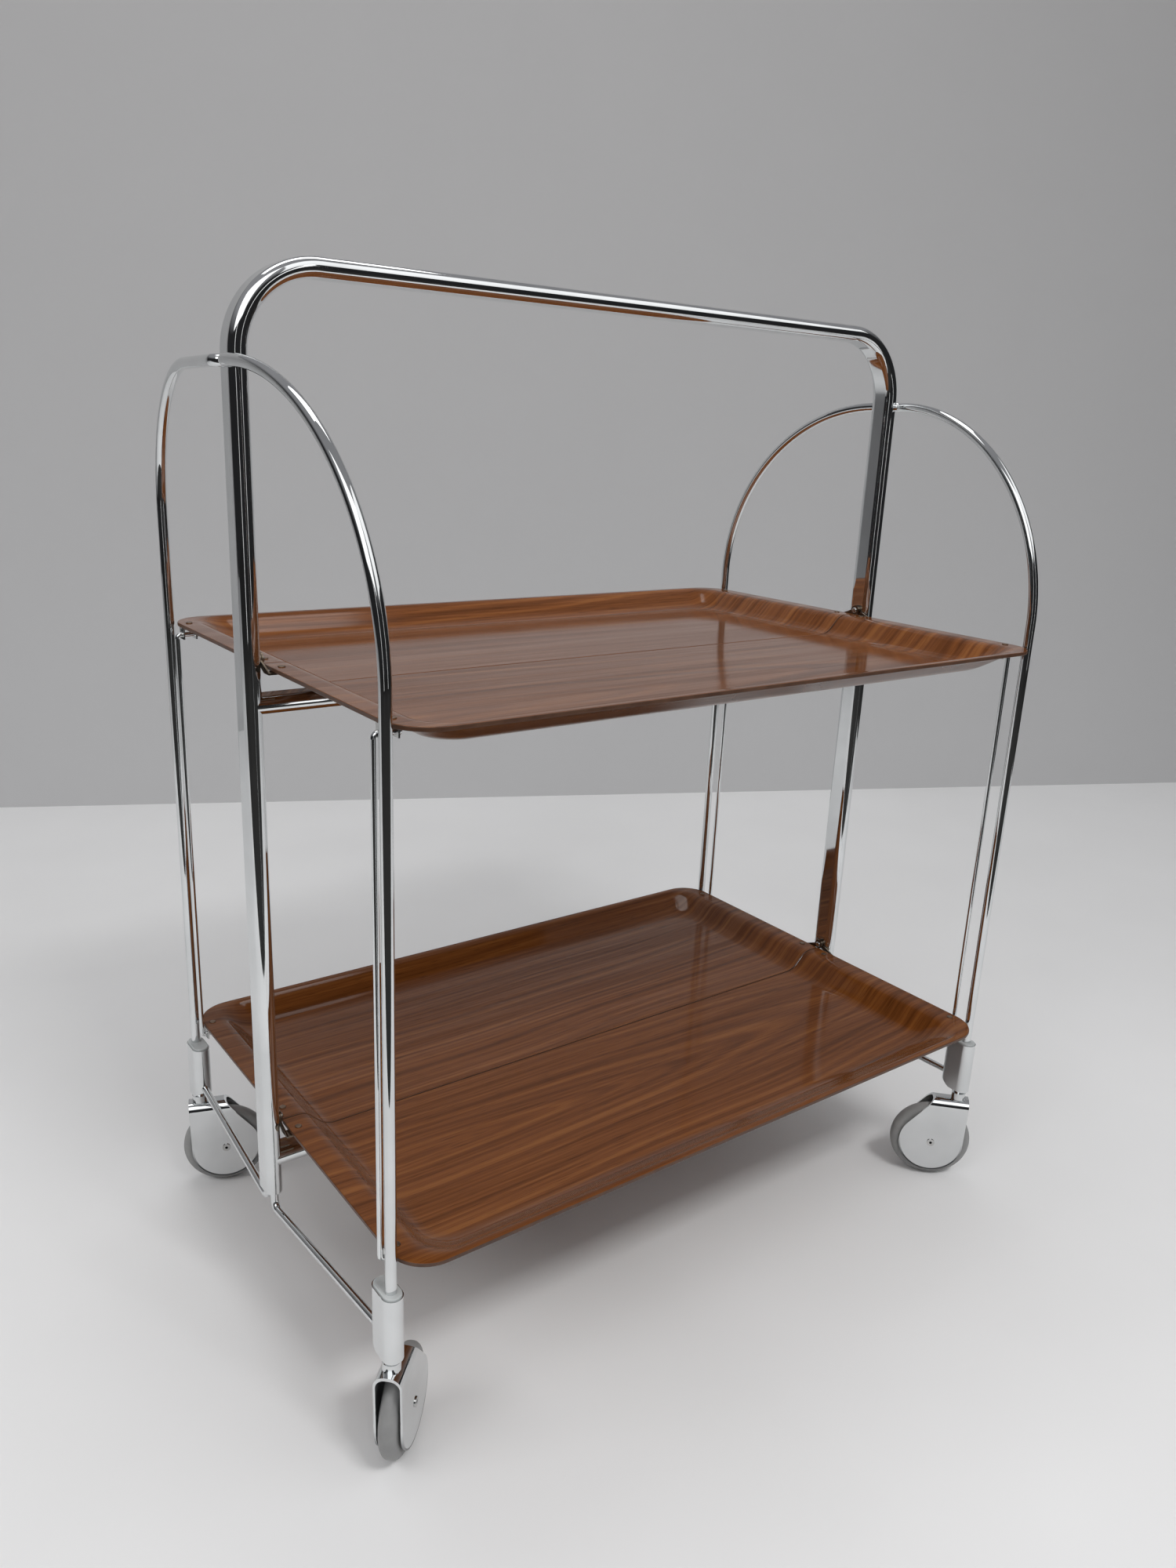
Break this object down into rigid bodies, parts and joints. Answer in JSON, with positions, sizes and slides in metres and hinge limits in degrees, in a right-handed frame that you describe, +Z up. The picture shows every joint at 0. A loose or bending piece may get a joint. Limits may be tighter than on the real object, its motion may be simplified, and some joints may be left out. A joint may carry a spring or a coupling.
{
  "type": "folding serving trolley",
  "caption": "Folding tea trolley: chrome tube handle frame, arched rod legs on swivel casters, and wood-grain trays split along the middle so that both halves fold up.",
  "frame": {"origin": "on the floor under the middle of the trolley", "axes": "+X along the handle, +Y across the trays towards the rear, +Z up"},
  "size_m": [0.6484, 0.4148, 0.7855],
  "materials": {
    "chrome": "polished chrome plate",
    "plated_steel": "plated pressed steel",
    "rivet_steel": "satin steel",
    "wood_laminate": "satin wood-grain laminate",
    "cap_plastic": "light grey moulded plastic",
    "wheel_rubber": "grey wheel rubber"
  },
  "bodies": {
    "frame": {"brace_rod_front_left": "chrome", "brace_rod_front_right": "chrome", "brace_rod_rear_left": "chrome", "brace_rod_rear_right": "chrome", "crossbar_lower": "chrome", "crossbar_upper": "chrome", "gate_rod_front_left": "chrome", "gate_rod_front_right": "chrome", "gate_rod_rear_left": "chrome", "gate_rod_rear_right": "chrome", "hinge_pins_lower": "rivet_steel", "hinge_pins_upper": "rivet_steel", "main_tube": "chrome", "sleeve_caps": "cap_plastic", "sleeve_front_left": "chrome", "sleeve_front_right": "chrome", "sleeve_rear_left": "chrome", "sleeve_rear_right": "chrome"},
    "tray_upper_front": {"tray_upper_front": "wood_laminate", "tray_ears_upper_front": "plated_steel", "link_brackets_upper_front": "plated_steel", "tray_rivets_upper_front": "rivet_steel"},
    "tray_lower_front": {"tray_lower_front": "wood_laminate", "tray_ears_lower_front": "plated_steel", "link_brackets_lower_front": "plated_steel", "tray_rivets_lower_front": "rivet_steel"},
    "link_front_left": {"link_rod_front_left": "chrome"},
    "link_front_right": {"link_rod_front_right": "chrome"},
    "tray_upper_rear": {"tray_upper_rear": "wood_laminate", "tray_ears_upper_rear": "plated_steel", "link_brackets_upper_rear": "plated_steel", "tray_rivets_upper_rear": "rivet_steel"},
    "tray_lower_rear": {"tray_lower_rear": "wood_laminate", "tray_ears_lower_rear": "plated_steel", "link_brackets_lower_rear": "plated_steel", "tray_rivets_lower_rear": "rivet_steel"},
    "link_rear_left": {"link_rod_rear_left": "chrome"},
    "link_rear_right": {"link_rod_rear_right": "chrome"},
    "caster_front_left": {"caster_fork_front_left": "chrome", "caster_axle_front_left": "rivet_steel"},
    "wheel_front_left": {"caster_wheel_front_left": "wheel_rubber"},
    "caster_front_right": {"caster_fork_front_right": "chrome", "caster_axle_front_right": "rivet_steel"},
    "wheel_front_right": {"caster_wheel_front_right": "wheel_rubber"},
    "caster_rear_left": {"caster_fork_rear_left": "chrome", "caster_axle_rear_left": "rivet_steel"},
    "wheel_rear_left": {"caster_wheel_rear_left": "wheel_rubber"},
    "caster_rear_right": {"caster_fork_rear_right": "chrome", "caster_axle_rear_right": "rivet_steel"},
    "wheel_rear_right": {"caster_wheel_rear_right": "wheel_rubber"}
  },
  "joints": [
    {"name": "fold_upper_front", "type": "hinge", "parent": "frame", "child": "tray_upper_front", "pos_m": [0, 0, 0.529], "axis": [-1, 0, 0], "range_deg": [0, 84]},
    {"name": "fold_lower_front", "type": "hinge", "parent": "frame", "child": "tray_lower_front", "pos_m": [0, 0, 0.1713], "axis": [-1, 0, 0], "range_deg": [0, 84]},
    {"name": "link_pivot_front_left", "type": "hinge", "parent": "tray_upper_front", "child": "link_front_left", "pos_m": [-0.2905, -0.1741, 0.517], "axis": [-1, 0, 0], "range_deg": [-84, 0]},
    {"name": "link_pivot_front_right", "type": "hinge", "parent": "tray_upper_front", "child": "link_front_right", "pos_m": [0.2905, -0.1741, 0.517], "axis": [-1, 0, 0], "range_deg": [-84, 0]},
    {"name": "fold_upper_rear", "type": "hinge", "parent": "frame", "child": "tray_upper_rear", "pos_m": [0, 0, 0.529], "axis": [1, 0, 0], "range_deg": [0, 84]},
    {"name": "fold_lower_rear", "type": "hinge", "parent": "frame", "child": "tray_lower_rear", "pos_m": [0, 0, 0.1713], "axis": [1, 0, 0], "range_deg": [0, 84]},
    {"name": "link_pivot_rear_left", "type": "hinge", "parent": "tray_upper_rear", "child": "link_rear_left", "pos_m": [-0.2905, 0.1741, 0.517], "axis": [1, 0, 0], "range_deg": [-84, 0]},
    {"name": "link_pivot_rear_right", "type": "hinge", "parent": "tray_upper_rear", "child": "link_rear_right", "pos_m": [0.2905, 0.1741, 0.517], "axis": [1, 0, 0], "range_deg": [-84, 0]},
    {"name": "swivel_front_left", "type": "hinge", "parent": "frame", "child": "caster_front_left", "pos_m": [-0.3035, -0.1907, 0.1], "axis": [0, 0, 1], "continuous": true},
    {"name": "roll_front_left", "type": "hinge", "parent": "caster_front_left", "child": "wheel_front_left", "pos_m": [-0.28865, -0.17585, 0.0375], "axis": [-0.7071, 0.7071, 0], "continuous": true},
    {"name": "swivel_front_right", "type": "hinge", "parent": "frame", "child": "caster_front_right", "pos_m": [0.3035, -0.1907, 0.1], "axis": [0, 0, 1], "continuous": true},
    {"name": "roll_front_right", "type": "hinge", "parent": "caster_front_right", "child": "wheel_front_right", "pos_m": [0.28891, -0.17559, 0.0375], "axis": [-0.7193, -0.6947, 0], "continuous": true},
    {"name": "swivel_rear_left", "type": "hinge", "parent": "frame", "child": "caster_rear_left", "pos_m": [-0.3035, 0.1907, 0.1], "axis": [0, 0, 1], "continuous": true},
    {"name": "roll_rear_left", "type": "hinge", "parent": "caster_rear_left", "child": "wheel_rear_left", "pos_m": [-0.28364, 0.18386, 0.0375], "axis": [0.3256, 0.9455, 0], "continuous": true},
    {"name": "swivel_rear_right", "type": "hinge", "parent": "frame", "child": "caster_rear_right", "pos_m": [0.3035, 0.1907, 0.1], "axis": [0, 0, 1], "continuous": true},
    {"name": "roll_rear_right", "type": "hinge", "parent": "caster_rear_right", "child": "wheel_rear_right", "pos_m": [0.28377, 0.18352, 0.0375], "axis": [0.342, -0.9397, 0], "continuous": true}
  ],
  "couplings": [
    {"joint": "fold_lower_front", "follows": "fold_upper_front", "ratio": 1},
    {"joint": "link_pivot_front_left", "follows": "fold_upper_front", "ratio": -1},
    {"joint": "link_pivot_front_right", "follows": "fold_upper_front", "ratio": -1},
    {"joint": "fold_lower_rear", "follows": "fold_upper_rear", "ratio": 1},
    {"joint": "link_pivot_rear_left", "follows": "fold_upper_rear", "ratio": -1},
    {"joint": "link_pivot_rear_right", "follows": "fold_upper_rear", "ratio": -1}
  ]
}
